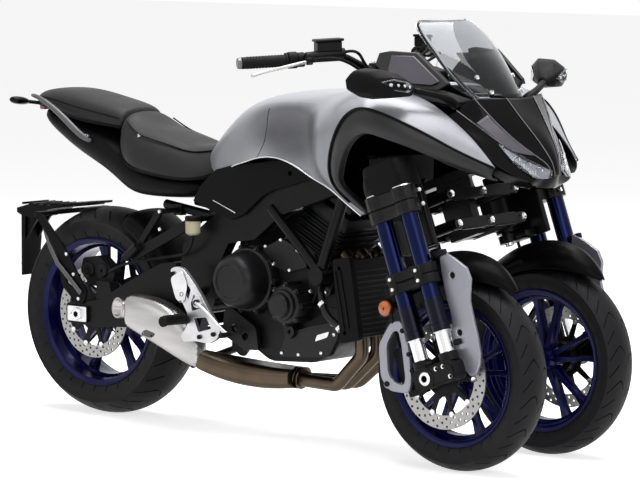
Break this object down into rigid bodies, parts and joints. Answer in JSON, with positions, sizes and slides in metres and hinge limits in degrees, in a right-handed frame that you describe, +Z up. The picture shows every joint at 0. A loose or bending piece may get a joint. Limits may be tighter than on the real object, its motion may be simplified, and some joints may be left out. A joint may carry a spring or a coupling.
{
  "type": "leaning reverse trike motorcycle",
  "caption": "Leaning three-wheeled motorcycle: two steered, leaning front wheels on outboard forks, one driven rear wheel, faired body and stepped seat.",
  "frame": {"origin": "middle of the overall length and width, on the floor under the wheels", "axes": "+X forward, +Y to the rider's left, +Z up"},
  "size_m": [2.1498, 0.885, 1.2499],
  "materials": {
    "silver_paint": "matte bluish silver",
    "grey_paint": "dark grey satin",
    "black_plastic": "fine grain",
    "gloss_black": "gloss",
    "frame_black": "satin black",
    "engine_black": "charcoal satin",
    "fork_blue": "metallic blue anodised",
    "rim_blue": "deep navy gloss",
    "chrome": "polished",
    "steel": "brushed",
    "cast_alloy": "cast and polished",
    "heat_steel": "heat tinted",
    "tyre": "matt",
    "seat_vinyl": "fine grained vinyl",
    "rubber": "matt",
    "clear_screen": "clear",
    "lamp_lens": "clear",
    "lamp_red": "clear red",
    "reservoir": "translucent"
  },
  "bodies": {
    "chassis": {"arch_bands": "grey_paint", "brake_reservoir": "reservoir", "dash": "black_plastic", "drive_chain": "black_plastic", "engine_block": "engine_black", "engine_covers": "engine_black", "exhaust_headers": "heat_steel", "grab_rails": "frame_black", "headlamps": "lamp_lens", "link_carrier": "frame_black", "main_frame": "frame_black", "mirrors": "black_plastic", "muffler": "steel", "nose_cowl": "black_plastic", "pillion_footrests": "frame_black", "pillion_seat": "seat_vinyl", "plate_holder": "black_plastic", "radiator": "frame_black", "rear_caliper": "frame_black", "rear_hugger": "black_plastic", "rear_lamps": "lamp_red", "rear_shock": "steel", "rider_footrests": "cast_alloy", "rider_seat": "seat_vinyl", "side_covers": "black_plastic", "side_fairings": "silver_paint", "swingarm": "frame_black", "tail_cover": "black_plastic", "tank_cover": "silver_paint", "windscreen": "clear_screen"},
    "handlebar": {"handlebar": "frame_black", "grips": "rubber"},
    "upper_arm": {"upper_arm": "frame_black"},
    "lower_arm": {"lower_arm": "frame_black"},
    "side_stand": {"side_stand": "frame_black"},
    "rear_wheel": {"rear_tyre": "tyre", "rear_rim": "rim_blue", "rear_disc": "steel"},
    "knuckle_left": {"knuckle_left": "frame_black"},
    "fork_left": {"fork_tubes_left": "fork_blue", "fork_sliders_left": "chrome", "fork_yoke_left": "frame_black", "fork_foot_left": "frame_black", "front_fender_left": "black_plastic", "front_caliper_left": "frame_black", "fork_cover_left": "cast_alloy"},
    "front_wheel_left": {"front_tyre_left": "tyre", "front_rim_left": "rim_blue", "front_disc_left": "steel"},
    "knuckle_right": {"knuckle_right": "frame_black"},
    "fork_right": {"fork_tubes_right": "fork_blue", "fork_sliders_right": "chrome", "fork_yoke_right": "frame_black", "fork_foot_right": "frame_black", "front_fender_right": "black_plastic", "front_caliper_right": "frame_black", "fork_cover_right": "cast_alloy"},
    "front_wheel_right": {"front_tyre_right": "tyre", "front_rim_right": "rim_blue", "front_disc_right": "steel"}
  },
  "joints": [
    {"name": "handlebar_steer", "type": "hinge", "parent": "chassis", "child": "handlebar", "pos_m": [0.3805, 0, 1.04], "axis": [-0.4067, 0, 0.9135], "range_deg": [-32, 32]},
    {"name": "lean", "type": "hinge", "parent": "chassis", "child": "upper_arm", "pos_m": [0.60918, 0, 0.72897], "axis": [0.9397, 0, 0.342], "range_deg": [-45, 45]},
    {"name": "lean_lower", "type": "hinge", "parent": "chassis", "child": "lower_arm", "pos_m": [0.63859, 0, 0.64816], "axis": [0.9397, 0, 0.342], "range_deg": [-45, 45]},
    {"name": "knuckle_tilt_left", "type": "hinge", "parent": "upper_arm", "child": "knuckle_left", "pos_m": [0.60918, 0.15, 0.72897], "axis": [0.9397, 0, 0.342], "range_deg": [-45, 45]},
    {"name": "fork_steer_left", "type": "hinge", "parent": "knuckle_left", "child": "fork_left", "pos_m": [0.62388, 0.205, 0.68856], "axis": [-0.342, 0, 0.9397], "range_deg": [-32, 32]},
    {"name": "front_wheel_spin_left", "type": "hinge", "parent": "fork_left", "child": "front_wheel_left", "pos_m": [0.8005, 0.205, 0.2745], "axis": [0, 1, 0], "continuous": true},
    {"name": "knuckle_tilt_right", "type": "hinge", "parent": "upper_arm", "child": "knuckle_right", "pos_m": [0.60918, -0.15, 0.72897], "axis": [0.9397, 0, 0.342], "range_deg": [-45, 45]},
    {"name": "fork_steer_right", "type": "hinge", "parent": "knuckle_right", "child": "fork_right", "pos_m": [0.62388, -0.205, 0.68856], "axis": [-0.342, 0, 0.9397], "range_deg": [-32, 32]},
    {"name": "front_wheel_spin_right", "type": "hinge", "parent": "fork_right", "child": "front_wheel_right", "pos_m": [0.8005, -0.205, 0.2745], "axis": [0, 1, 0], "continuous": true},
    {"name": "rear_wheel_spin", "type": "hinge", "parent": "chassis", "child": "rear_wheel", "pos_m": [-0.7095, 0, 0.32], "axis": [0, 1, 0], "continuous": true},
    {"name": "side_stand_fold", "type": "hinge", "parent": "chassis", "child": "side_stand", "pos_m": [-0.2695, 0.118, 0.236], "axis": [0.1183, -0.8661, -0.4856], "range_deg": [0, 90]}
  ],
  "couplings": [
    {"joint": "lean_lower", "follows": "lean", "ratio": 1},
    {"joint": "knuckle_tilt_left", "follows": "lean", "ratio": -1},
    {"joint": "fork_steer_left", "follows": "handlebar_steer", "ratio": 1},
    {"joint": "knuckle_tilt_right", "follows": "lean", "ratio": -1},
    {"joint": "fork_steer_right", "follows": "handlebar_steer", "ratio": 1}
  ]
}
